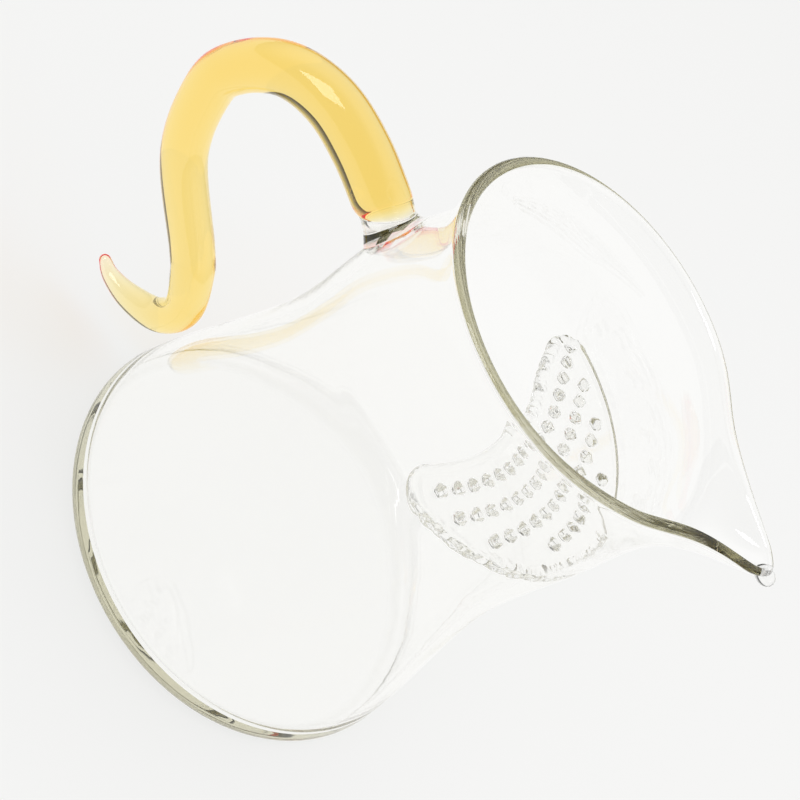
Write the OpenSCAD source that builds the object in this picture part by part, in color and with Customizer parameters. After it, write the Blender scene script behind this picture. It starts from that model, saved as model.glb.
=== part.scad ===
// Tea fairness pitcher of clear blown glass, with a drawn-out beak, a pierced glass strainer
// across the front of the neck, and a solid amber rod handle that ends in a small curl.
// Millimetres. +Z is up, the base stands on Z = 0 with its centre at the origin,
// the beak points along +X and the handle along -X.

/* [Body] */
// Height of the rim above the table
rim_h = 99.2; // [92:0.2:108]
// Diameter of the base, where the lines of the wall would reach the table
base_d = 87.2; // [80:0.2:94]
// Inward lean of the wall where it leaves the base, in mm per mm of height
base_lean = 0.14; // [0.05:0.01:0.2]
// Outside diameter at the waist
waist_d = 67.6; // [62:0.2:74]
// Height of the waist
waist_h = 52.8; // [46:0.2:58]
// Outside diameter at the shoulder, where the handle is joined on
shoulder_d = 68.6; // [63:0.2:75]
// Height of the shoulder
shoulder_h = 69.8; // [64:0.2:73]
// Outside diameter at the neck
neck_d = 61.6; // [57:0.2:67]
// Distance from the neck up to the rim
neck_drop = 10.9; // [9:0.1:14]
// Outside diameter across the mouth, without the beak
mouth_d = 66.4; // [61:0.2:71]
// Outward flare of the lip, in mm per mm of height
lip_flare = 0.26; // [0:0.02:0.4]

/* [Glass] */
// Thickness of the blown wall
wall = 2; // [1.6:0.1:2.4]
// Thickness of the floor
floor_t = 2.2; // [1.8:0.1:3]
// Rounding of the outside edge of the base
foot_r = 3; // [1:0.1:3.6]
// Rounding between floor and wall inside
floor_r = 2.5; // [1:0.1:5]
// Height of the rounded fire-polished rim
rim_round = 1.15; // [0.8:0.05:1.6]
// Extra thickness of the glass gathered at the rim
rim_swell = 0.3; // [0:0.1:1]

/* [Beak] */
// Distance that the tip of the beak stands out past the mouth
beak_reach = 19; // [14:0.5:24]
// Distance below the rim at which the wall starts to swell forward
beak_drop = 43.4; // [36:0.2:50]
// How late the wall swings out, as the power of the height
beak_curve = 3; // [2:0.1:4]
// Angle in which the beak falls away to each side
beak_spread = 11.5; // [8:0.5:14]
// Angle that is rounded off at the tip
beak_round = 3; // [1.5:0.1:4]
// Further rounding where the swell begins, so that the beak grows out of a full chest
beak_chest = 22; // [8:1:30]
// Rise of the tip above the rim
beak_rise = 0.2; // [0:0.1:2]
// Dip of the rim on each side of the beak
beak_dip = 1; // [0:0.1:2]
// Extra thickness of the droplet of glass at the tip
tip_drop = 0.8; // [0:0.1:1.2]

/* [Strainer] */
// Distance from the rim down to the underside of the strainer
strainer_drop = 29.4; // [24:0.2:34]
// Thickness of the strainer
strainer_t = 2; // [1.5:0.1:3]
// Distance from the pitcher's axis forward to the middle of the free edge
edge_x = 7.7; // [4:0.1:12]
// Radius of the curve of the free edge and of the rows of holes
edge_curve = 52; // [40:1:80]
// Rounding of the two tips, where the free edge runs into the wall
tip_r = 4.5; // [3:0.5:6]
// Thickness of the rolled bead along the free edge
edge_bead = 2.6; // [2.4:0.1:3.4]
// Thickness of the seam that joins the strainer to the wall
seam_d = 3.6; // [3.2:0.1:4.4]
// Diameter of each hole
hole_d = 2.1; // [1.5:0.1:2.6]
// Distance between the holes of a row
hole_pitch = 4.1; // [3.6:0.1:6]
// Distance between rows
row_pitch = 5; // [3.6:0.1:7]
// Distance from the free edge to the first row
row_inset = 4.6; // [3.4:0.1:6]
// Plain glass left between the last hole and the wall
hole_land = 2.4; // [2:0.1:5]

/* [Handle] */
// Distance from the rim down to where the middle of the handle meets the wall
handle_drop = 24.2; // [21:0.1:27]
// Upward tilt of the rod where it leaves the wall, in degrees
handle_tilt = 16; // [4:1:20]
// Diameter of the amber rod
rod_d = 10.7; // [9:0.1:11.8]
// Diameter of the neck where the rod meets the clear seal
seal_neck = 9.6; // [8.4:0.1:10.4]
// Diameter of the clear seal where it spreads on the wall
seal_d = 12.6; // [12:0.1:14.4]
// Distance from the wall to the end of the amber rod, along its middle
seal_t = 3.3; // [3:0.1:5]
// Slant of the amber rod's end, its lower side farther from the wall, in degrees
seal_slant = 21; // [0:1:22]
// Rise of the crest above the end of the seal
crest_rise = 3.9; // [1:0.1:6]
// Distance from the end of the seal out to the farthest point of the rod's middle
handle_reach = 34.6; // [30:0.1:40]
// Height of the rod's middle where the tail comes closest to the body
tail_h = 22; // [18:0.1:26]
// Clear gap between the tail and the body
tail_gap = 1.8; // [1:0.1:4]
// Diameter of the rod where the tail turns back
tail_d = 7.7; // [6:0.1:9]
// Height of the rod's middle at the bottom of the curl
curl_h = 11.2; // [8:0.1:14]
// Distance from the tail's nearest point out to the tip
curl_reach = 16.7; // [14:0.1:20]
// Rise of the tip above the bottom of the curl
tip_rise = 1.3; // [0.6:0.1:4]
// Diameter of the rounded tip
tip_d = 2.4; // [2:0.1:3.4]

/* [Hidden] */

CLEAR = [0.86, 0.9, 0.87, 0.35];
AMBER = [0.97, 0.74, 0.2, 0.75];

// Columns of facets round the body, drawn together towards the beak by this share
COLUMNS = 72;
SQUEEZE = 0.78;
// Steps in the rounded foot, floor corner and rim
ROUND_STEPS = 5;
// Sides of the rod, steps between two points of its route, and rings round its tip
ROD_SIDES = 20;
ROD_STEPS = 5;
TIP_STEPS = 3;
// Length over which the gathered glass of the rim thins out, and how far the beak's
// narrow end is drawn up
SWELL_H = 2.2;
RISE_POWER = 1.5;
// Angles from the beak at which the rim dips and over which it does, and the half angle
// of the droplet
DIP_AT = 33;
DIP_WIDTH = 15;
DROP_ANGLE = 5;
// Rings up the lower wall, the seat of the handle, the lip, the neck and the belly,
// and steps in the flare of the seal
LOWER_STEPS = 10;
SEAT_STEPS = 8;
UPPER_STEPS = 5;
NECK_STEPS = 8;
BELLY_STEPS = 10;
FLARE_STEPS = 6;
// Facets in each rounded tip and along the free edge of the strainer, and sides of its threads
TIP_FACETS = 8;
EDGE_FACETS = 24;
THREAD_SIDES = 14;
// Angle in which the seam runs out at each tip, and its share of thickness there
SEAM_END = 4;
SEAM_THIN = 0.4;
// Length of rod over which it swells from the seal's neck to its full diameter
NECK_L = 2.6;
// Room above and below the strainer's seam, and spare length of a cutting shape
SEAM_ROOM = 0.4;
OVER = 1;
// Rows of facets above and below the handle, and depth of the seal's plug behind its
// foremost point of contact, both as shares of the seal's diameter
SEAT_SHARE = 0.7;
PLUG_SHARE = 0.3;

neck_h = rim_h - neck_drop;
rim_base = rim_h - rim_round;
beak_start = rim_h - beak_drop;
strainer_h = rim_h - strainer_drop;
handle_h = rim_h - handle_drop;

// Cubic curve between two heights, with the radius and the slope given at each
function blend(z, z0, r0, s0, z1, r1, s1) =
    let (h = z1 - z0, t = (z - z0) / h)
    r0 * (2 * pow(t, 3) - 3 * t * t + 1) + s0 * h * (pow(t, 3) - 2 * t * t + t)
    + r1 * (3 * t * t - 2 * pow(t, 3)) + s1 * h * (pow(t, 3) - t * t);

// Outside radius of the body at a height, before the beak is drawn out
function body_r(z) =
    z < waist_h ? blend(z, 0, base_d / 2, -base_lean, waist_h, waist_d / 2, 0)
    : z < shoulder_h ? blend(z, waist_h, waist_d / 2, 0, shoulder_h, shoulder_d / 2, 0)
    : z < neck_h ? blend(z, shoulder_h, shoulder_d / 2, 0, neck_h, neck_d / 2, 0)
    : blend(z, neck_h, neck_d / 2, 0, rim_h, mouth_d / 2, lip_flare);

// How far the wall is drawn forward at a height, and how that falls off round the body
function climb(z) = max(0, z - beak_start) / (rim_base - beak_start);
function beak(z, a) =
    let (rounding = beak_round + beak_chest * (1 - climb(z)))
    exp(-(sqrt(a * a + rounding * rounding) - rounding) / beak_spread);

// Gathered glass at the rim, with the droplet at the tip of the beak
function swell(z, a) =
    (rim_swell + tip_drop * exp(-pow(a / DROP_ANGLE, 2)))
    * exp(-pow(max(0, rim_base - z) / SWELL_H, 2));

function skin_r(z, a) =
    body_r(z) + beak_reach * pow(climb(z), beak_curve) * beak(z, a) + swell(z, a) / 2;
function lift(z, a) =
    pow(climb(z), beak_curve)
    * (beak_rise * pow(beak(z, a), RISE_POWER)
       - beak_dip * exp(-pow((abs(a) - DIP_AT) / DIP_WIDTH, 2)));

// Radial run of the wall: its thickness over the outward lean of its surface
function wall_run(z, a) =
    let (turn = (skin_r(z, a + 1) - skin_r(z, a - 1)) / skin_r(z, a) * 90 / PI,
         rise = skin_r(z, a) - skin_r(z - 1, a))
    (wall + swell(z, a)) * sqrt(1 + turn * turn + rise * rise);

// Angle of column i from the middle of the beak, -180 to 180
function column(i) =
    let (u = 360 * i / COLUMNS, a = u - SQUEEZE * sin(u) * 180 / PI) a > 180 ? a - 360 : a;
function around(r, z, a) = [r * cos(a), r * sin(a), z];

function outer_ring(z) =
    [for (i = [0:COLUMNS - 1]) let (a = column(i)) around(skin_r(z, a), z + lift(z, a), a)];
function inner_ring(z) =
    [for (i = [0:COLUMNS - 1])
        let (a = column(i)) around(skin_r(z, a) - wall_run(z, a), z + lift(z, a), a)];
function flat_ring(r, z) = [for (i = [0:COLUMNS - 1]) around(r, z, column(i))];

// Ring t degrees over the rounded rim, from the outside to the inside
function rim_ring(t) =
    [for (i = [0:COLUMNS - 1])
        let (a = column(i), run = wall_run(rim_base, a), r = skin_r(rim_base, a) - run / 2)
        around(r + cos(t) * run / 2, rim_base + lift(rim_base, a) + rim_round * sin(t), a)];

// Heights at which the wall has a ring. The seat of the handle and the level of the
// strainer lie between rings of their own, so that what is joined there fits the facets.
seat_low = handle_h - seal_d * SEAT_SHARE;
seat_high = handle_h + seal_d * SEAT_SHARE;
strainer_low = strainer_h - (seam_d - strainer_t) / 2 - SEAM_ROOM;
strainer_high = strainer_h + (seam_d + strainer_t) / 2 + SEAM_ROOM;
floor_top = floor_t + floor_r;

// Evenly spaced numbers from a to b, both ends included
function steps(a, b, n) = [for (i = [0:n]) a + (b - a) * i / n];
// A list without its first item
function rest(list) = [for (i = [1:1:len(list) - 1]) list[i]];
function middle_of(ring) = [for (p = ring) 1] * ring / len(ring);

// Closed skin over a stack of rings that all have as many points. The rings run upwards,
// or downwards when turned is true.
module skin(rings, turned = false) {
    n = len(rings[0]);
    last = (len(rings) - 1) * n;
    pole = last + n;
    faces = concat(
        [for (i = [0:n - 1]) [pole, i, (i + 1) % n]],
        [for (j = [0:n:last - 1], i = [0:n - 1])
            let (k = (i + 1) % n)
            each [[j + i, j + n + i, j + k], [j + k, j + n + i, j + n + k]]],
        [for (i = [0:n - 1]) [pole + 1, last + (i + 1) % n, last + i]]);
    polyhedron(
        points = concat([for (ring = rings) each ring],
                        [middle_of(rings[0]), middle_of(rings[len(rings) - 1])]),
        faces = turned ? [for (f = faces) [f[2], f[1], f[0]]] : faces);
}

// Blown vessel: rounded foot, outside wall with its beak, rounded rim, inside wall and floor
module vessel() {
    foot_x = body_r(foot_r) - foot_r;
    floor_x = body_r(floor_top) - wall_run(floor_top, 180) - floor_r;
    color(CLEAR)
        skin(concat(
            [for (t = steps(-90, 0, ROUND_STEPS))
                flat_ring(foot_x + foot_r * cos(t), foot_r + foot_r * sin(t))],
            [for (z = rest(steps(foot_r, seat_low, LOWER_STEPS))) outer_ring(z)],
            [for (z = rest(steps(seat_low, seat_high, SEAT_STEPS))) outer_ring(z)],
            [for (z = rest(steps(seat_high, rim_base, UPPER_STEPS))) outer_ring(z)],
            [for (t = rest(steps(0, 180, ROUND_STEPS))) rim_ring(t)],
            [for (z = rest(steps(rim_base, strainer_high, NECK_STEPS))) inner_ring(z)],
            [for (z = steps(strainer_low, floor_top, BELLY_STEPS)) inner_ring(z)],
            [for (t = rest(steps(0, -90, ROUND_STEPS)))
                flat_ring(floor_x + floor_r * cos(t), floor_top + floor_r * sin(t))]));
}

// Hollow of the neck at the strainer's level, with the facets of the inside wall
module neck_hollow() {
    skin([inner_ring(strainer_high), inner_ring(strainer_low)], turned = true);
}

// Body as if solid over the seat of the handle, with the facets of the outside wall
module seat_block() {
    skin([for (z = steps(seat_low, seat_high, SEAT_STEPS)) outer_ring(z)]);
}

// Place of each hole: rows that run parallel to the free edge, as far as the wall allows
edge_centre = edge_x - edge_curve;
neck_hollow_r = body_r(strainer_h) - wall;
row_reach = neck_hollow_r - hole_d / 2 - hole_land;
tip_x = (pow(neck_hollow_r - tip_r, 2) - pow(edge_curve + tip_r, 2) + edge_centre * edge_centre)
        / (2 * edge_centre);
tip_y = sqrt(pow(neck_hollow_r - tip_r, 2) - tip_x * tip_x);
tip_angle = atan2(tip_y, tip_x);
edge_angle = atan2(tip_y, tip_x - edge_centre);
row_count = floor((row_reach - edge_x - row_inset) / row_pitch) + 1;
hole_places = [
    for (row = [0:row_count - 1])
        let (radius = edge_curve + row_inset + row * row_pitch,
             turn = hole_pitch / radius * 180 / PI,
             half = floor(neck_hollow_r / hole_pitch))
        for (k = [-half:half])
            let (p = [edge_centre + radius * cos(k * turn), radius * sin(k * turn)])
            if (norm(p) < row_reach) p];

// Places along an arc as [x, y, direction of the thread's outer side, thickness]
function places(centre, radius, turns, outside, d) =
    [for (t = turns) [centre[0] + radius * cos(t), centre[1] + radius * sin(t), t + outside, d]];
edge_line = concat(
    places([tip_x, tip_y], tip_r, steps(tip_angle, 180 + edge_angle, TIP_FACETS), 0, edge_bead),
    places([edge_centre, 0], edge_curve, rest(steps(edge_angle, -edge_angle, EDGE_FACETS)), 180,
           edge_bead),
    places([tip_x, -tip_y], tip_r, rest(steps(180 - edge_angle, 360 - tip_angle, TIP_FACETS)), 0,
           edge_bead));
seam_line = concat(
    places([0, 0], neck_hollow_r, [-tip_angle - SEAM_END], 0, SEAM_THIN * seam_d),
    places([0, 0], neck_hollow_r, steps(-tip_angle, tip_angle, EDGE_FACETS), 0, seam_d),
    places([0, 0], neck_hollow_r, [tip_angle + SEAM_END], 0, SEAM_THIN * seam_d));
front_line =
    places([0, 0], neck_hollow_r + 2 * wall, steps(-tip_angle, tip_angle, EDGE_FACETS), 0, 0);

// Thread of glass laid along a line of places, at mid height of the strainer
module thread(line) {
    skin([for (p = line)
        [for (j = [0:THREAD_SIDES - 1])
            let (t = 360 * j / THREAD_SIDES, out = p[3] / 2 * cos(t))
            [p[0] + out * cos(p[2]), p[1] + out * sin(p[2]),
             strainer_h + strainer_t / 2 - p[3] / 2 * sin(t)]]]);
}

// Strainer: a flat half-moon of glass with rows of round holes, a rolled bead along its
// free edge and a raised seam where it is melted to the wall
module strainer() {
    color(CLEAR)
        intersection() {
            neck_hollow();
            difference() {
                union() {
                    translate([0, 0, strainer_h])
                        linear_extrude(strainer_t)
                            polygon([for (p = concat(edge_line, front_line)) [p[0], p[1]]]);
                    thread(edge_line);
                    thread(seam_line);
                }
                for (p = hole_places)
                    translate([p[0], p[1], strainer_h - OVER])
                        cylinder(h = strainer_t + 2 * OVER, d = hole_d, $fn = 24);
            }
        }
}

// Frame of the rod where it leaves the wall, in the plane of the handle
rod_way = [-cos(handle_tilt), sin(handle_tilt)];
wall_x = -skin_r(handle_h, 180);
root = [wall_x, handle_h] + seal_t * rod_way;
end_slope = tan(seal_slant);

// Clear seal: a short flared plug that joins the slanted end of the amber rod to the wall
module handle_seal() {
    deep = seal_t + seal_d * PLUG_SHARE;
    flare = (seal_d - seal_neck) / 2;
    reach = seal_neck / 2 * end_slope;
    color(CLEAR)
        difference() {
            translate([root[0], 0, root[1]])
                rotate([0, handle_tilt - 90, 0])
                    difference() {
                        rotate_extrude($fn = 64)
                            polygon(concat(
                                [[0, -deep], [0, reach + OVER], [seal_neck / 2, reach + OVER]],
                                [for (s = steps(0, 1, FLARE_STEPS))
                                    [seal_neck / 2 + flare * (1 - cos(180 * s)) / 2, -s * deep]]));
                        rotate([0, seal_slant, 0])
                            translate([-seal_d, -seal_d, 0])
                                cube([2 * seal_d, 2 * seal_d, seal_d]);
                    }
            seat_block();
        }
}

// Middle line of the rod as [x, z, diameter], from the seal over the crest, down past the
// hand, in to the body and round the curl
far_x = root[0] - handle_reach;
near_x = -(body_r(tail_h) + tail_gap + tail_d / 2);
span = near_x - far_x;
drop = root[1] - tail_h;
turn_h = tail_h - curl_h;
route = [
    [root[0], root[1], seal_neck],
    [root[0] + NECK_L * rod_way[0], root[1] + NECK_L * rod_way[1], rod_d],
    [root[0] - 0.26 * handle_reach, root[1] + 0.81 * crest_rise, rod_d],
    [root[0] - 0.56 * handle_reach, root[1] + crest_rise, 0.98 * rod_d],
    [root[0] - 0.82 * handle_reach, root[1] - 0.06 * crest_rise, 0.94 * rod_d],
    [far_x + 0.03 * span, root[1] - 0.14 * drop, 0.91 * rod_d],
    [far_x, root[1] - 0.3 * drop, 0.88 * rod_d],
    [far_x + 0.23 * span, root[1] - 0.57 * drop, 0.86 * rod_d],
    [far_x + 0.71 * span, root[1] - 0.79 * drop, 0.84 * rod_d],
    [far_x + 0.86 * span, root[1] - 0.87 * drop, 0.82 * rod_d],
    [near_x, tail_h, tail_d],
    [near_x - 0.12 * curl_reach, curl_h + 0.4 * turn_h, 0.9 * tail_d],
    [near_x - 0.48 * curl_reach, curl_h + 0.08 * turn_h, 0.71 * tail_d],
    [near_x - 0.81 * curl_reach, curl_h, 0.43 * tail_d],
    [near_x - curl_reach, curl_h + tip_rise, tip_d]];

// Smooth curve through the route, t from 0 to 1 between points i and i + 1
way_in = route[0] - NECK_L * [rod_way[0], rod_way[1], 0];
function spline(i, t) =
    let (a = i == 0 ? way_in : route[i - 1], b = route[i], c = route[i + 1],
         d = route[min(i + 2, len(route) - 1)])
    b + (c - a) * t / 2 + (2 * a - 5 * b + 4 * c - d) * t * t / 2
    + (3 * b - a - 3 * c + d) * pow(t, 3) / 2;

// Ring of the rod about a point of the plane, square to a direction
function rod_ring(p, way, d) =
    let (side = [-way[1], way[0]] / norm(way))
    [for (j = [0:ROD_SIDES - 1])
        let (t = 360 * j / ROD_SIDES)
        [p[0] + d / 2 * cos(t) * side[0], d / 2 * sin(t), p[1] + d / 2 * cos(t) * side[1]]];

// A ring of the rod about a middle, slanted along the rod by a share of its end's slant
function slanted(ring, middle, share) =
    [for (p = ring)
        let (up = (p[0] - middle[0]) * rod_way[1] - (p[2] - middle[1]) * rod_way[0])
        p - share * up * end_slope * [rod_way[0], 0, rod_way[1]]];

// Amber handle: one solid rod, drawn thinner to a curl that ends in a small round tip
module handle() {
    legs = len(route) - 2;
    middles = concat([for (i = [0:legs], s = [0:ROD_STEPS - 1]) spline(i, s / ROD_STEPS)],
                     [route[legs + 1]]);
    count = len(middles) - 1;
    ways = [for (k = [0:count])
        k == 0 ? rod_way : middles[min(k + 1, count)] - middles[k - 1]];
    tip = middles[count];
    tip_way = [ways[count][0], ways[count][1]] / norm([ways[count][0], ways[count][1]]);
    color(AMBER)
        skin(concat(
            [for (k = [0:count])
                slanted(rod_ring(middles[k], [ways[k][0], ways[k][1]], middles[k][2]),
                        middles[k], max(0, 1 - k / ROD_STEPS))],
            [for (j = [1:TIP_STEPS])
                let (t = 90 * j / (TIP_STEPS + 1))
                rod_ring([tip[0], tip[1]] + tip_d / 2 * sin(t) * tip_way, tip_way, tip_d * cos(t))]));
}

vessel();
strainer();
handle_seal();
handle();
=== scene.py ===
import math
import random

import bmesh
import bpy
from mathutils import Matrix, Vector


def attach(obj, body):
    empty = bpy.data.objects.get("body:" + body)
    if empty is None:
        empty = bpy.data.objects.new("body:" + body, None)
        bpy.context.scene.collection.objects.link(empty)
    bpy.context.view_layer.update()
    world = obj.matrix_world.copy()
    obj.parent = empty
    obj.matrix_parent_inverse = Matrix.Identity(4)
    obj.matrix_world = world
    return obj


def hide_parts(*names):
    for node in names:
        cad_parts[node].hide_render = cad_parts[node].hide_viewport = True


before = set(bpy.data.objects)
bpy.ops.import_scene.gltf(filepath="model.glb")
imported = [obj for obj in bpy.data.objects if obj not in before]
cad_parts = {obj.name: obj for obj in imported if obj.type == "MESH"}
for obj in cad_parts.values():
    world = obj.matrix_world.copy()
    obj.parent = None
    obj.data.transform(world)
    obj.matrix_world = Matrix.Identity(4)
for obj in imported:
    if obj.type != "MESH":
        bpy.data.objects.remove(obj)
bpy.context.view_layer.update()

# Camera: it looks down on the right-hand side of the pitcher from close by, and is turned so
# that the standing pitcher lies across the frame with its beak to the lower right.
VIEW_SIDE = math.radians(-97.7)
VIEW_HEIGHT = math.radians(40.55)
VIEW_DISTANCE = 0.3231
VIEW_TURN = math.radians(58.54)
LENS = 79.19
AIM_SIDE = Vector((-0.0077, 0.00104, 0))
AIM_HEIGHT = 0.05273
UP = Vector((0, 0, 1))

aim = AIM_SIDE + AIM_HEIGHT * UP
eye = VIEW_DISTANCE * math.cos(VIEW_HEIGHT) * Vector((math.cos(VIEW_SIDE), math.sin(VIEW_SIDE), 0))
eye += (AIM_HEIGHT + VIEW_DISTANCE * math.sin(VIEW_HEIGHT)) * UP
forward = (aim - eye).normalized()
right = forward.cross(UP).normalized()
upright = Matrix((right, right.cross(forward), -forward)).transposed()
camera = bpy.data.objects.new("camera", bpy.data.cameras.new("camera"))
camera.data.lens = LENS
camera.data.sensor_width = 36
camera.data.clip_start = 0.01
camera.matrix_world = (
    Matrix.Translation(eye) @ (upright @ Matrix.Rotation(VIEW_TURN, 3, "Z")).to_4x4())
bpy.context.scene.collection.objects.link(camera)
bpy.context.scene.camera = camera

# Studio: a pale table that runs out to the horizon, a pale room and three soft lamps. Seen
# directly, in glass or through glass, table and room have one near-white. Low down and behind
# the camera the room is dim, which draws the lines in the glass.
PAPER, PAPER_LIT = (0.953, 0.953, 0.945, 1), (0.8, 0.8, 0.795, 1)
PAPER_IN_GLASS = 1.035
TABLE_R = 6.0
TABLE_GAP = 0.0003
TABLE_SHADOW = 0.3
SHADOW_IN_GLASS = 0.1
ROOM_DIFFUSE = 0.62
ROOM_SHADES = {0.0: (0.06, 0.06, 0.058, 1), 0.12: (0.2, 0.2, 0.196, 1),
               0.3: (0.6, 0.6, 0.588, 1), 0.5: (0.975, 0.975, 0.967, 1)}
CAMERA_SIDE = 0.05
DIM_FROM, DIM_FULL = math.radians(62), math.radians(38)
LAMPS = {
    "window": ((-0.55, -0.75, 0.95), 0.55, 0.8, 7.0),
    "overhead": ((0.25, 0.35, 1.15), 0.8, 0.8, 7.0),
    "side": ((1.0, -0.35, 0.55), 0.35, 0.6, 2.5),
}

studio = bpy.context.scene
studio.view_settings.view_transform = "Standard"
studio.cycles.max_bounces = 128
studio.cycles.transmission_bounces = 128
studio.cycles.glossy_bounces = 128
studio.cycles.transparent_max_bounces = 32
studio.cycles.caustics_refractive = False
studio.cycles.caustics_reflective = False


def seen_share(nodes, links):
    """1 for rays that come from the camera, from a gloss or through glass, and otherwise 0."""
    ray = nodes.new("ShaderNodeLightPath")
    first = nodes.new("ShaderNodeMath")
    first.operation = "MAXIMUM"
    links.new(ray.outputs["Is Camera Ray"], first.inputs[0])
    links.new(ray.outputs["Is Glossy Ray"], first.inputs[1])
    both = nodes.new("ShaderNodeMath")
    both.operation = "MAXIMUM"
    links.new(first.outputs[0], both.inputs[0])
    links.new(ray.outputs["Is Transmission Ray"], both.inputs[1])
    return both.outputs[0], ray


bm = bmesh.new()
bmesh.ops.create_circle(bm, cap_ends=True, segments=96, radius=TABLE_R)
bmesh.ops.translate(bm, vec=(0, 0, -TABLE_GAP), verts=bm.verts)
table_mesh = bpy.data.meshes.new("table")
bm.to_mesh(table_mesh)
bm.free()
table = bpy.data.objects.new("table", table_mesh)
bpy.context.scene.collection.objects.link(table)
paper = bpy.data.materials.new("paper")
paper.use_nodes = True
nodes, links = paper.node_tree.nodes, paper.node_tree.links
nodes.clear()
lit = nodes.new("ShaderNodeBsdfDiffuse")
lit.inputs["Color"].default_value = PAPER_LIT
glow = nodes.new("ShaderNodeEmission")
glow.inputs["Color"].default_value = PAPER
seen, ray = seen_share(nodes, links)
direct = nodes.new("ShaderNodeMath")
direct.operation = "MULTIPLY"
direct.inputs[1].default_value = SHADOW_IN_GLASS - TABLE_SHADOW
links.new(ray.outputs["Is Camera Ray"], direct.inputs[0])
weight = nodes.new("ShaderNodeMath")
weight.operation = "MULTIPLY_ADD"
weight.inputs[1].default_value = 1 - SHADOW_IN_GLASS
links.new(seen, weight.inputs[0])
links.new(direct.outputs[0], weight.inputs[2])
gain = nodes.new("ShaderNodeMapRange")
gain.inputs["To Min"].default_value = PAPER_IN_GLASS
gain.inputs["To Max"].default_value = 1.0
links.new(ray.outputs["Is Camera Ray"], gain.inputs["Value"])
links.new(gain.outputs[0], glow.inputs["Strength"])
mix = nodes.new("ShaderNodeMixShader")
links.new(weight.outputs[0], mix.inputs[0])
links.new(lit.outputs[0], mix.inputs[1])
links.new(glow.outputs[0], mix.inputs[2])
out = nodes.new("ShaderNodeOutputMaterial")
links.new(mix.outputs[0], out.inputs["Surface"])
table_mesh.materials.append(paper)

room = bpy.data.worlds.new("room")
bpy.context.scene.world = room
room.use_nodes = True
nodes, links = room.node_tree.nodes, room.node_tree.links
nodes.clear()
seen, ray = seen_share(nodes, links)
way = nodes.new("ShaderNodeTexCoord")
split = nodes.new("ShaderNodeSeparateXYZ")
links.new(way.outputs["Generated"], split.inputs[0])
shade = nodes.new("ShaderNodeValToRGB")
greys = shade.color_ramp.elements
greys.remove(greys[1])
for rise, grey in ROOM_SHADES.items():
    (greys.new(rise) if rise > 0 else greys[0]).color = grey
links.new(split.outputs["Z"], shade.inputs[0])
facing = nodes.new("ShaderNodeVectorMath")
facing.operation = "DOT_PRODUCT"
facing.inputs[1].default_value = -forward
links.new(way.outputs["Generated"], facing.inputs[0])
behind = nodes.new("ShaderNodeMapRange")
behind.inputs["From Min"].default_value = math.cos(DIM_FROM)
behind.inputs["From Max"].default_value = math.cos(DIM_FULL)
behind.inputs["To Min"].default_value = 1.0
behind.inputs["To Max"].default_value = CAMERA_SIDE
links.new(facing.outputs["Value"], behind.inputs["Value"])
dimmed = nodes.new("ShaderNodeMix")
dimmed.data_type = "RGBA"
dimmed.blend_type = "MULTIPLY"
dimmed.inputs["Factor"].default_value = 1.0
links.new(shade.outputs[0], dimmed.inputs["A"])
links.new(behind.outputs[0], dimmed.inputs["B"])
direct = nodes.new("ShaderNodeMix")
direct.data_type = "RGBA"
direct.inputs["B"].default_value = PAPER
links.new(ray.outputs["Is Camera Ray"], direct.inputs["Factor"])
links.new(dimmed.outputs["Result"], direct.inputs["A"])
strength = nodes.new("ShaderNodeMapRange")
strength.inputs["To Min"].default_value = ROOM_DIFFUSE
strength.inputs["To Max"].default_value = 1.0
links.new(seen, strength.inputs["Value"])
air = nodes.new("ShaderNodeBackground")
links.new(direct.outputs["Result"], air.inputs["Color"])
links.new(strength.outputs[0], air.inputs["Strength"])
out = nodes.new("ShaderNodeOutputWorld")
links.new(air.outputs[0], out.inputs["Surface"])

for name, (place, width, height, power) in LAMPS.items():
    lamp = bpy.data.objects.new(name, bpy.data.lights.new(name, "AREA"))
    lamp.data.shape = "RECTANGLE"
    lamp.data.size, lamp.data.size_y = width, height
    lamp.data.energy = power
    lamp.location = place
    lamp.rotation_euler = (aim - Vector(place)).to_track_quat("-Z", "Y").to_euler()
    lamp.visible_glossy = name == "window"
    lamp.visible_transmission = False
    bpy.context.scene.collection.objects.link(lamp)

# Vessel: one gather of clear borosilicate, blown to a bell and flattened under its base. The rim
# is fire polished to a round bead, and one side is drawn out to a beak that ends in a droplet.
# Sizes are in millimetres, heights from the base, and angles in degrees from the beak's middle.
RIM_H, WAIST_H, SHOULDER_H, NECK_H = 99.2, 52.8, 69.8, 88.3
BASE_R, WAIST_R, SHOULDER_R, NECK_R, MOUTH_R = 43.6, 33.8, 34.3, 30.8, 33.2
BASE_LEAN, LIP_FLARE = 0.14, 0.26
WALL, FLOOR_T, FOOT_R, FLOOR_R = 2.0, 2.2, 3.0, 2.9
RIM_ROUND, RIM_SWELL, SWELL_H = 1.15, 0.3, 2.2
BEAK_REACH, BEAK_START, BEAK_CURVE, BEAK_RISE = 19.0, 55.8, 3.0, 0.2
BEAK_SPREAD, BEAK_ROUND, BEAK_CHEST, BEAK_SQUEEZE = 11.5, 3.0, 22.0, 0.7
BEAK_DIP, DIP_AT, DIP_WIDTH = 1.0, 33.0, 15.0
TIP_THIN, THIN_ANGLE = 0.4, 9.0
TIP_X, TIP_PRESS = 47.0, 0.65
DROPLET, DROPLET_SIZE = Vector((50.15, 0, 97.45)), (2.05, 1.75, 1.65)
CLEAR_TINT, CLEAR_DEPTH, CLEAR_SHADOW = (0.705, 0.68, 0.48, 1), 14.0, (0.96, 0.97, 0.96, 1)
CLEAR_WAVES, RIPPLE_HEIGHT = 55.0, 0.00006
SKIN_TOLERANCE, SEAT_EDGE = 0.05, 0.3
RIM_BASE = RIM_H - RIM_ROUND
COLUMNS = 128


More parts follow.
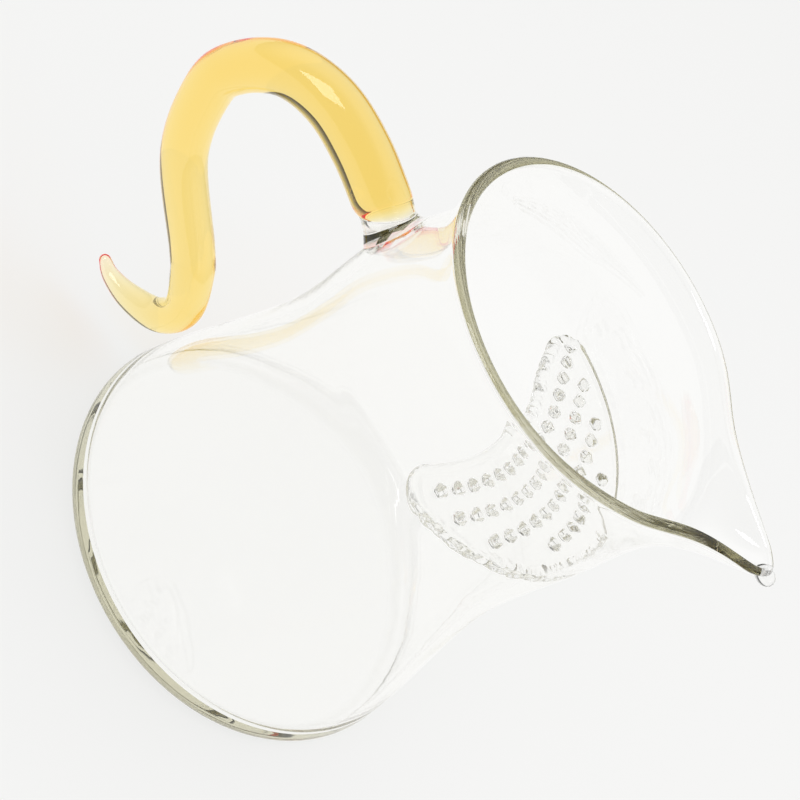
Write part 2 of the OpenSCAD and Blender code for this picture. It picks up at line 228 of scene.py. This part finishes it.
def blend(z, z0, r0, s0, z1, r1, s1):
    """Cubic curve between two heights, with the radius and the slope given at each."""
    h = z1 - z0
    t = (z - z0) / h
    return (r0 * (2 * t**3 - 3 * t * t + 1) + s0 * h * (t**3 - 2 * t * t + t)
            + r1 * (3 * t * t - 2 * t**3) + s1 * h * (t**3 - t * t))


def body_r(z):
    """Outside radius of the blown bell, before the beak is drawn."""
    if z < WAIST_H:
        return blend(z, 0, BASE_R, -BASE_LEAN, WAIST_H, WAIST_R, 0)
    if z < SHOULDER_H:
        return blend(z, WAIST_H, WAIST_R, 0, SHOULDER_H, SHOULDER_R, 0)
    if z < NECK_H:
        return blend(z, SHOULDER_H, SHOULDER_R, 0, NECK_H, NECK_R, 0)
    return blend(z, NECK_H, NECK_R, 0, RIM_H, MOUTH_R, LIP_FLARE)


def climb(z):
    return max(0.0, z - BEAK_START) / (RIM_BASE - BEAK_START)


def beak(z, a):
    """Share of the beak's reach at a height and an angle in degrees from its middle."""
    rounding = BEAK_ROUND + BEAK_CHEST * (1 - climb(z))
    return math.exp(-(math.hypot(a, rounding) - rounding) / BEAK_SPREAD)


def swell(z, a):
    """Glass gathered in the rim."""
    return RIM_SWELL * math.exp(-(max(0.0, RIM_BASE - z) / SWELL_H) ** 2)


def skin_r(z, a):
    return body_r(z) + BEAK_REACH * climb(z) ** BEAK_CURVE * beak(z, a) + swell(z, a) / 2


def lift(z, a):
    dip = BEAK_DIP * math.exp(-((abs(a) - DIP_AT) / DIP_WIDTH) ** 2)
    return climb(z) ** BEAK_CURVE * (BEAK_RISE * beak(z, a) ** 1.5 - dip)


def wall_run(z, a):
    """Radial run of the wall, which leans with its surface and is drawn thin in the beak."""
    turn = (skin_r(z, a + 1) - skin_r(z, a - 1)) * 90 / math.pi / skin_r(z, a)
    rise = skin_r(z, a) - skin_r(z - 1, a)
    thin = 1 - TIP_THIN * climb(z) * math.exp(-(a / THIN_ANGLE) ** 2)
    return (WALL + swell(z, a)) * thin * math.sqrt(1 + turn * turn + rise * rise)


def spaced(a, b, n):
    return [a + (b - a) * i / n for i in range(n + 1)]


def bell_outline():
    """Section of the bell from the middle of its underside round the rim to its floor."""
    foot_x = body_r(FOOT_R) - FOOT_R
    top = FLOOR_T + FLOOR_R
    floor_x = body_r(top) - wall_run(top, 180) - FLOOR_R
    points = [(x, 0) for x in spaced(0, foot_x, 10)]
    for t in spaced(-90, 0, 6)[1:]:
        t = math.radians(t)
        points.append((foot_x + FOOT_R * math.cos(t), FOOT_R + FOOT_R * math.sin(t)))
    points += [(skin_r(z, 180), z) for z in spaced(FOOT_R, RIM_BASE, 44)[1:]]
    run = wall_run(RIM_BASE, 180)
    middle = skin_r(RIM_BASE, 180) - run / 2
    for t in spaced(0, 180, 12)[1:]:
        t = math.radians(t)
        points.append((middle + math.cos(t) * run / 2, RIM_BASE + RIM_ROUND * math.sin(t)))
    points += [(skin_r(z, 180) - wall_run(z, 180), z) for z in spaced(RIM_BASE, top, 42)[1:]]
    for t in spaced(0, -90, 6)[1:]:
        t = math.radians(t)
        points.append((floor_x + FLOOR_R * math.cos(t), top + FLOOR_R * math.sin(t)))
    points += [(x, FLOOR_T) for x in spaced(floor_x, 0, 9)[1:]]
    return points


def draw_beak(co):
    """A point of the plain bell, moved to where it goes as the beak is drawn out."""
    u = math.degrees(math.atan2(co.y, co.x))
    a = u - BEAK_SQUEEZE * math.degrees(math.sin(math.radians(u)))
    z = min(co.z, RIM_BASE)
    r = math.hypot(co.x, co.y)
    inset = (skin_r(z, 180) - r) / wall_run(z, 180)
    r = max(0.0, skin_r(z, a) - inset * wall_run(z, a)) if climb(z) > 0 else r
    x = r * math.cos(math.radians(a))
    x -= (1 - TIP_PRESS) * max(0.0, x - TIP_X)
    return Vector((x, r * math.sin(math.radians(a)), co.z + lift(z, a)))


def spun(points, steps):
    """Closed shape turned about the Z axis from its outline, given as radius and height."""
    bm = bmesh.new()
    outline = [bm.verts.new((x, 0, z)) for x, z in points]
    ring = [bm.edges.new(pair) for pair in zip(outline, outline[1:])]
    bmesh.ops.spin(bm, geom=outline + ring, cent=(0, 0, 0), axis=(0, 0, 1),
                   angle=2 * math.pi, steps=steps, use_merge=True)
    bmesh.ops.remove_doubles(bm, verts=bm.verts, dist=0.001)
    return bm


def finished(name, bm, material, subdivisions=0):
    """Piece with its place in its mesh, scaled from millimetres, riding on the one body."""
    bmesh.ops.scale(bm, vec=(0.001, 0.001, 0.001), verts=bm.verts)
    mesh = bpy.data.meshes.new(name)
    bm.to_mesh(mesh)
    bm.free()
    mesh.polygons.foreach_set("use_smooth", [True] * len(mesh.polygons))
    mesh.materials.append(material)
    piece = bpy.data.objects.new(name, mesh)
    bpy.context.scene.collection.objects.link(piece)
    if subdivisions:
        smooth = piece.modifiers.new("round", "SUBSURF")
        smooth.levels = smooth.render_levels = subdivisions
    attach(piece, "root")
    return piece


def flame_ripple():
    """Slow unevenness that the flame leaves on worked glass, as a height to bump by."""
    group = bpy.data.node_groups.new("flame_ripple", "ShaderNodeTree")
    for label, value in (("Waves", 60.0), ("Drag", 0.4)):
        socket = group.interface.new_socket(label, in_out="INPUT", socket_type="NodeSocketFloat")
        socket.default_value = value
    group.interface.new_socket("Height", in_out="OUTPUT", socket_type="NodeSocketFloat")
    nodes, links = group.nodes, group.links
    given, result = nodes.new("NodeGroupInput"), nodes.new("NodeGroupOutput")
    place = nodes.new("ShaderNodeTexCoord")
    swirl = nodes.new("ShaderNodeTexNoise")
    swirl.inputs["Detail"].default_value = 1.5
    links.new(place.outputs["Object"], swirl.inputs["Vector"])
    links.new(given.outputs["Waves"], swirl.inputs["Scale"])
    links.new(given.outputs["Drag"], swirl.inputs["Distortion"])
    links.new(swirl.outputs[0], result.inputs["Height"])
    return group


def glass(name, absorb, density, waves, shadow):
    """Clear or coloured glass: polished, slightly rippled, and tinted by its own depth. Faces
    melted to the next piece let light go straight on from glass to glass."""
    material = bpy.data.materials.new(name)
    material.use_nodes = True
    nodes, links = material.node_tree.nodes, material.node_tree.links
    nodes.clear()
    out = nodes.new("ShaderNodeOutputMaterial")
    body = nodes.new("ShaderNodeBsdfPrincipled")
    body.inputs["Base Color"].default_value = (1, 1, 1, 1)
    body.inputs["Roughness"].default_value = 0.0
    body.inputs["IOR"].default_value = 1.47
    body.inputs["Transmission Weight"].default_value = 1.0
    ripple = nodes.new("ShaderNodeGroup")
    ripple.node_tree = flame_ripples
    ripple.inputs["Waves"].default_value = waves
    bump = nodes.new("ShaderNodeBump")
    bump.inputs["Strength"].default_value = 1.0
    bump.inputs["Distance"].default_value = RIPPLE_HEIGHT
    links.new(ripple.outputs["Height"], bump.inputs["Height"])
    links.new(bump.outputs[0], body.inputs["Normal"])
    melted = nodes.new("ShaderNodeAttribute")
    melted.attribute_name = "melted"
    joined = nodes.new("ShaderNodeMixShader")
    links.new(melted.outputs["Fac"], joined.inputs[0])
    links.new(body.outputs[0], joined.inputs[1])
    links.new(nodes.new("ShaderNodeBsdfTransparent").outputs[0], joined.inputs[2])
    ray = nodes.new("ShaderNodeLightPath")
    let_through = nodes.new("ShaderNodeBsdfTransparent")
    let_through.inputs["Color"].default_value = shadow
    mix = nodes.new("ShaderNodeMixShader")
    links.new(ray.outputs["Is Shadow Ray"], mix.inputs[0])
    links.new(joined.outputs[0], mix.inputs[1])
    links.new(let_through.outputs[0], mix.inputs[2])
    links.new(mix.outputs[0], out.inputs["Surface"])
    depth = nodes.new("ShaderNodeVolumeAbsorption")
    depth.inputs["Color"].default_value = absorb
    depth.inputs["Density"].default_value = density
    links.new(depth.outputs[0], out.inputs["Volume"])
    return material


# Where the handle is melted to the wall: the wall's own faces there are part of the weld.
HANDLE_H, HANDLE_TILT, END_SLANT = 75.0, math.radians(16), math.radians(21)
SEAL_T, SEAL_R, SEAL_WAIST, SEAL_FLARE, SEAL_SIDES = 3.3, 6.2, 4.75, 2.2, 64
ROD_R = 5.35
rod_way = Vector((-math.cos(HANDLE_TILT), 0, math.sin(HANDLE_TILT)))
rod_up = Vector((math.sin(HANDLE_TILT), 0, math.cos(HANDLE_TILT)))
root = Vector((-skin_r(HANDLE_H, 180), 0, HANDLE_H)) + SEAL_T * rod_way
end_slope = math.tan(END_SLANT)


def under_seal(co):
    """Whether a point lies on the outside of the wall and under the handle's seal."""
    out = co - root
    off_skin = abs(math.hypot(co.x, co.y) - skin_r(co.z, 180))
    return (co.x < 0 and off_skin <= SKIN_TOLERANCE
            and math.hypot(out.dot(rod_up), out.y) < SEAL_R - SEAT_EDGE)


flame_ripples = flame_ripple()
clear_glass = glass("clear_glass", CLEAR_TINT, CLEAR_DEPTH, CLEAR_WAVES, CLEAR_SHADOW)
bm = spun(bell_outline(), COLUMNS)
for v in bm.verts:
    v.co = draw_beak(v.co)
bmesh.ops.create_uvsphere(
    bm, u_segments=24, v_segments=16, radius=1,
    matrix=Matrix.Translation(DROPLET) @ Matrix.Diagonal((*DROPLET_SIZE, 1)))
bmesh.ops.recalc_face_normals(bm, faces=bm.faces)
melted = bm.faces.layers.float.new("melted")
for f in bm.faces:
    f[melted] = float(all(under_seal(v.co) for v in f.verts))
vessel = finished("vessel", bm, clear_glass, 1)
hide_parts("vessel")

# Strainer: a flat half-moon of clear glass across the front of the neck. Its holes were pierced
# hot with a pick, which left lobed, tapered walls, and its lumpy seam was melted to the wall.
PLATE_Z, PLATE_T = 70.8, 2.0
EDGE_X, EDGE_CURVE, EDGE_BEAD = 8.2, 52.0, 1.25
EDGE_CENTRE = EDGE_X - EDGE_CURVE
HOLE_R, HOLE_PITCH, ROW_PITCH, ROW_INSET, HOLE_LAND = 1.05, 4.3, 5.0, 3.75, 2.4
HOLE_SIDES, HOLE_LOBE, HOLE_WOBBLE, HOLE_SHIFT = 24, 0.14, 0.04, 0.3
HOLE_TAPER, TAPER_REACH = 0.17, 1.3 * HOLE_R
HOLE_SWAY, EDGE_SWAY = (1.3, 22, 9), (1.6, 18.5, 7)
EDGE_ROUGH_Y, EDGE_ROUGH = 4, 0.22
SEAM_R, SEAM_THIN, SEAM_IN, SEAM_WANDER, SEAM_SAG = 1.5, 0.45, 0.6, 0.4, 0.3
SEAM_ROUGH_TO, SEAM_ROUGH, SEAM_SMOOTH = 12, 1.0, 0.1
TIP_R, SHEET_IN = 4.5, 0.4
VOXEL, SMOOTHINGS = 0.21, 3
MELT_GAP = 0.03


def inner_r(z, a):
    return skin_r(z, a) - wall_run(z, a)


def swayed(p, most, at, width):
    """A point of the plate, pressed back on the +Y side, where it was held while it was soft."""
    return p - Vector((most * math.exp(-((p.y - at) / width) ** 2), 0, 0))


def edge_point(turn):
    """Point of the free edge, turned by an angle about the centre of its curve."""
    return Vector((EDGE_CENTRE + EDGE_CURVE * math.cos(turn), EDGE_CURVE * math.sin(turn), 0))


def hole_places():
    """Middles of the holes: rows along the free edge that stop short of the wall."""
    neck_r = body_r(PLATE_Z - PLATE_T / 2) - WALL
    reach = neck_r - HOLE_R - HOLE_LAND
    places = []
    for row in range(int((reach - EDGE_X - ROW_INSET) / ROW_PITCH) + 1):
        radius = EDGE_CURVE + ROW_INSET + row * ROW_PITCH
        half = int(neck_r / HOLE_PITCH)
        for k in range(-half, half + 1):
            turn = (k * HOLE_PITCH - HOLE_SHIFT) / radius
            place = Vector((EDGE_CENTRE + radius * math.cos(turn), radius * math.sin(turn), 0))
            if place.length < reach:
                places.append(swayed(place, *HOLE_SWAY))
    return places


def closed_loop(bm, points):
    corners = [bm.verts.new(p) for p in points]
    return [bm.edges.new((corners[i - 1], corners[i])) for i in range(len(corners))]


def pearl(bm, place, radius):
    bmesh.ops.create_icosphere(bm, subdivisions=2, radius=radius, matrix=Matrix.Translation(place))


# Each tip is a round corner that touches the free edge on one side and the wall on the other.
wall_r = inner_r(PLATE_Z, 80) - SHEET_IN
tip_x = ((wall_r - TIP_R) ** 2 - (EDGE_CURVE + TIP_R) ** 2 + EDGE_CENTRE**2) / (2 * EDGE_CENTRE)
tip_y = math.sqrt((wall_r - TIP_R) ** 2 - tip_x**2)
half_turn = math.atan2(tip_y, tip_x - EDGE_CENTRE)
tip_angle = math.degrees(math.atan2(tip_y, tip_x))
corner = []
for t in spaced(math.radians(tip_angle), math.pi + half_turn, 10)[1:]:
    corner.append(Vector((tip_x + TIP_R * math.cos(t), tip_y + TIP_R * math.sin(t), 0)))
free_edge = corner + [edge_point(t) for t in spaced(half_turn, -half_turn, 60)[1:-1]]
free_edge += [Vector((p.x, -p.y, 0)) for p in reversed(corner)]
free_edge = [swayed(p, *EDGE_SWAY) for p in free_edge]
pick = random.Random(11)
bm = bmesh.new()
low = Vector((0, 0, PLATE_Z - PLATE_T / 2))
rim_points = [low + p for p in free_edge]
for a in spaced(-tip_angle, tip_angle, 110):
    r, t = inner_r(PLATE_Z, a) - SHEET_IN, math.radians(a)
    rim_points.append(low + Vector((r * math.cos(t), r * math.sin(t), 0)))
loops = closed_loop(bm, rim_points)
holes = hole_places()
for place in holes:
    lobes, phase = pick.choice((3, 4, 4, 5)), pick.uniform(0, 2 * math.pi)
    loop = []
    for t in spaced(0, 2 * math.pi, HOLE_SIDES)[:-1]:
        r = HOLE_R * (1 + HOLE_LOBE * math.cos(lobes * t + phase)
                      + pick.uniform(-HOLE_WOBBLE, HOLE_WOBBLE))
        loop.append(low + place + Vector((r * math.cos(t), r * math.sin(t), 0)))
    loops += closed_loop(bm, loop)
sheet = bmesh.ops.triangle_fill(bm, edges=loops, use_beauty=True)["geom"]
faces = [g for g in sheet if isinstance(g, bmesh.types.BMFace)]
grown = bmesh.ops.extrude_face_region(bm, geom=faces)["geom"]
upper = [g for g in grown if isinstance(g, bmesh.types.BMVert)]
bmesh.ops.translate(bm, vec=(0, 0, PLATE_T), verts=upper)
for v in bm.verts:
    for place in holes:
        off = Vector((v.co.x - place.x, v.co.y - place.y, 0))
        if off.length < TAPER_REACH:
            v.co += off * math.copysign(HOLE_TAPER, v.co.z - PLATE_Z)
            break
bmesh.ops.recalc_face_normals(bm, faces=bm.faces)
middle = Vector((0, 0, PLATE_Z))
for a, b in zip(free_edge, free_edge[1:]):
    for t in (0, 0.5):
        place, rough = a.lerp(b, t), EDGE_ROUGH if a.y > EDGE_ROUGH_Y else 0.0
        shift = Vector((pick.uniform(-rough, rough), 0, pick.uniform(-rough, rough)))
        pearl(bm, middle + place + shift, EDGE_BEAD - pick.uniform(0, rough))
for a in spaced(-tip_angle, tip_angle, 120):
    lumpy, t = a < SEAM_ROUGH_TO, math.radians(a)
    rough = SEAM_ROUGH if lumpy else SEAM_SMOOTH
    r = inner_r(PLATE_Z, a) - SEAM_IN - rough * pick.uniform(-SEAM_WANDER, SEAM_WANDER)
    sag = rough * pick.uniform(-SEAM_SAG, SEAM_SAG)
    less = abs(sag) + pick.uniform(0, SEAM_SAG) if lumpy else SEAM_THIN
    pearl(bm, middle + Vector((r * math.cos(t), r * math.sin(t), sag)), SEAM_R - less)
rough_mesh = bpy.data.meshes.new("strainer_rough")
bm.to_mesh(rough_mesh)
bm.free()
rough = bpy.data.objects.new("strainer_rough", rough_mesh)
bpy.context.scene.collection.objects.link(rough)
melt = rough.modifiers.new("melt", "REMESH")
melt.mode = "VOXEL"
melt.voxel_size = VOXEL
bpy.context.view_layer.update()
blended = rough.evaluated_get(bpy.context.evaluated_depsgraph_get()).to_mesh()
bm = bmesh.new()
bm.from_mesh(blended)
bpy.data.objects.remove(rough)
bpy.data.meshes.remove(rough_mesh)
for _ in range(SMOOTHINGS):
    bmesh.ops.smooth_vert(bm, verts=bm.verts, factor=0.5,
                          use_axis_x=True, use_axis_y=True, use_axis_z=True)
for v in bm.verts:
    a = math.degrees(math.atan2(v.co.y, v.co.x))
    most = inner_r(v.co.z, a) - MELT_GAP
    r = math.hypot(v.co.x, v.co.y)
    if r > most:
        v.co.x *= most / r
        v.co.y *= most / r
bmesh.ops.recalc_face_normals(bm, faces=bm.faces)
strainer = finished("strainer", bm, clear_glass)
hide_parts("strainer")

# Handle seal: a dab of clear glass between the slanted end of the amber rod and the wall. It is
# drawn in below the rod and flares out where it has run on to the wall.
seal_outline = [(SEAL_WAIST * t, 0.0) for t in (0, 0.4, 0.75, 0.97, 1)]
for s in (0.02, 0.12, 0.25, 0.4, 0.55, 0.7, 0.82, 0.92, 0.985, 1):
    seal_outline.append((SEAL_WAIST + (SEAL_R - SEAL_WAIST) * s**SEAL_FLARE, s))
seal_outline += [(SEAL_R * t, 1.0) for t in (0.97, 0.85, 0.7, 0.5, 0.25, 0)]


def wall_distance(up, side):
    """How far the wall lies behind the rod's end, along the rod, at a place of its section."""
    near, far = 0.0, 20.0
    for _ in range(40):
        s = (near + far) / 2
        p = root + up * rod_up + side * Vector((0, 1, 0)) - s * rod_way
        if math.hypot(p.x, p.y) > skin_r(p.z, 180) + MELT_GAP:
            near = s
        else:
            far = s
    return near


bm = spun(seal_outline, SEAL_SIDES)
melted = bm.faces.layers.float.new("melted")
for f in bm.faces:
    shares = [v.co.z for v in f.verts]
    f[melted] = float(max(shares) < 0.001 or min(shares) > 0.999)
for v in bm.verts:
    up, side, share = v.co
    behind = (1 - share) * (up * end_slope + MELT_GAP) + share * wall_distance(up, side)
    v.co = root + up * rod_up + side * Vector((0, 1, 0)) - behind * rod_way
bmesh.ops.recalc_face_normals(bm, faces=bm.faces)
handle_seal = finished("handle_seal", bm, clear_glass, 1)
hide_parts("handle_seal")

# Handle: one solid rod of amber glass, bent hot to a hook, drawn thinner towards its tail and
# curled back, so that its colour fades out to the blunt tip. Each stop of its route is its place
# along X, its height and its diameter.
ROUTE = [
    (-48.0, 79.2, 10.7), (-58.0, 79.8, 10.4), (-66.8, 76.0, 9.8), (-72.4, 67.7, 9.4),
    (-73.2, 59.3, 9.15), (-67.2, 45.4, 8.92), (-53.0, 33.4, 8.7), (-49.0, 29.3, 8.5),
    (-44.9, 22.0, 7.7), (-46.9, 15.5, 6.94), (-52.9, 12.0, 5.47), (-58.4, 11.2, 3.6),
    (-61.6, 12.4, 2.4)]
ROD_STEPS, NECK_RUN, SLANT_RUN = 10, 1.3, 2.0
END_TOLERANCE = 0.01
AMBER_TINT, AMBER_DEPTH, AMBER_SHADOW = (1.0, 0.85, 0.205, 1), 195.0, (1.0, 0.85, 0.5, 1)
AMBER_WAVES = 40.0


def bend(points, i, t):
    """Smooth curve between points i and i + 1 of a route."""
    a, b, c = points[i - 1], points[i], points[i + 1]
    d = points[min(i + 2, len(points) - 1)]
    return (b + (c - a) * t / 2 + (2 * a - 5 * b + 4 * c - d) * t * t / 2
            + (3 * b - a - 3 * c + d) * t**3 / 2)


def section(place, way, radius, slope=0.0):
    """Moves a unit circle to a ring of the rod, sheared along the rod by a slope."""
    way = way.normalized()
    up = Vector((way.z, 0, -way.x))
    across = up * radius - way * radius * slope
    axes = Matrix((across, Vector((0, radius, 0)), way * radius)).transposed().to_4x4()
    return Matrix.Translation(place) @ axes


stops = [Vector((root.x, root.z, 2 * ROD_R))] + [Vector(p) for p in ROUTE]
lead = stops[1] - 2 * math.dist(stops[1][:2], stops[0][:2]) * Vector((rod_way.x, rod_way.z, 0))
points = [lead] + stops
path = [bend(points, i, t / ROD_STEPS) for i in range(1, len(stops)) for t in range(ROD_STEPS)]
path.append(stops[-1])
rings = [section(root, rod_way, SEAL_WAIST * t, end_slope) for t in (0.4, 0.75, 0.97, 1)]
for k in range(1, len(path)):
    x, z, d = path[k]
    ahead, behind = path[min(k + 1, len(path) - 1)], path[k - 1]
    way = Vector((ahead.x - behind.x, 0, ahead.y - behind.y))
    gone = (Vector((x, 0, z)) - root).length
    waist = (ROD_R - SEAL_WAIST) * math.exp(-(gone / NECK_RUN) ** 2)
    slope = end_slope * math.exp(-gone / SLANT_RUN)
    rings.append(section(Vector((x, 0, z)), way, d / 2 - waist, slope))
tip_r = path[-1].z / 2
tip_way = way.normalized()
for t in (20, 40, 58, 73, 84):
    t = math.radians(t)
    centre = Vector((path[-1].x, 0, path[-1].y)) + tip_r * math.sin(t) * tip_way
    rings.append(section(centre, tip_way, tip_r * math.cos(t)))
bm = bmesh.new()
bmesh.ops.create_circle(bm, cap_ends=True, cap_tris=True, segments=48, radius=1)
bmesh.ops.transform(bm, matrix=rings[0], verts=bm.verts)
front = [e for e in bm.edges if e.is_boundary]
for last, place in zip(rings, rings[1:]):
    grown = bmesh.ops.extrude_edge_only(bm, edges=front)["geom"]
    front = [g for g in grown if isinstance(g, bmesh.types.BMEdge)]
    corners = [g for g in grown if isinstance(g, bmesh.types.BMVert)]
    bmesh.ops.transform(bm, matrix=place @ last.inverted(), verts=corners)
grown = bmesh.ops.extrude_edge_only(bm, edges=front)["geom"]
corners = [g for g in grown if isinstance(g, bmesh.types.BMVert)]
pole = Vector((path[-1].x, 0, path[-1].y)) + tip_r * tip_way
bmesh.ops.pointmerge(bm, verts=corners, merge_co=pole)
bmesh.ops.recalc_face_normals(bm, faces=bm.faces)
melted = bm.faces.layers.float.new("melted")
for f in bm.faces:
    off = [(v.co - root).dot(rod_way) + (v.co - root).dot(rod_up) * end_slope for v in f.verts]
    f[melted] = float(max(abs(d) for d in off) < END_TOLERANCE)
amber_glass = glass("amber_glass", AMBER_TINT, AMBER_DEPTH, AMBER_WAVES, AMBER_SHADOW)
handle = finished("handle", bm, amber_glass, 1)
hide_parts("handle")
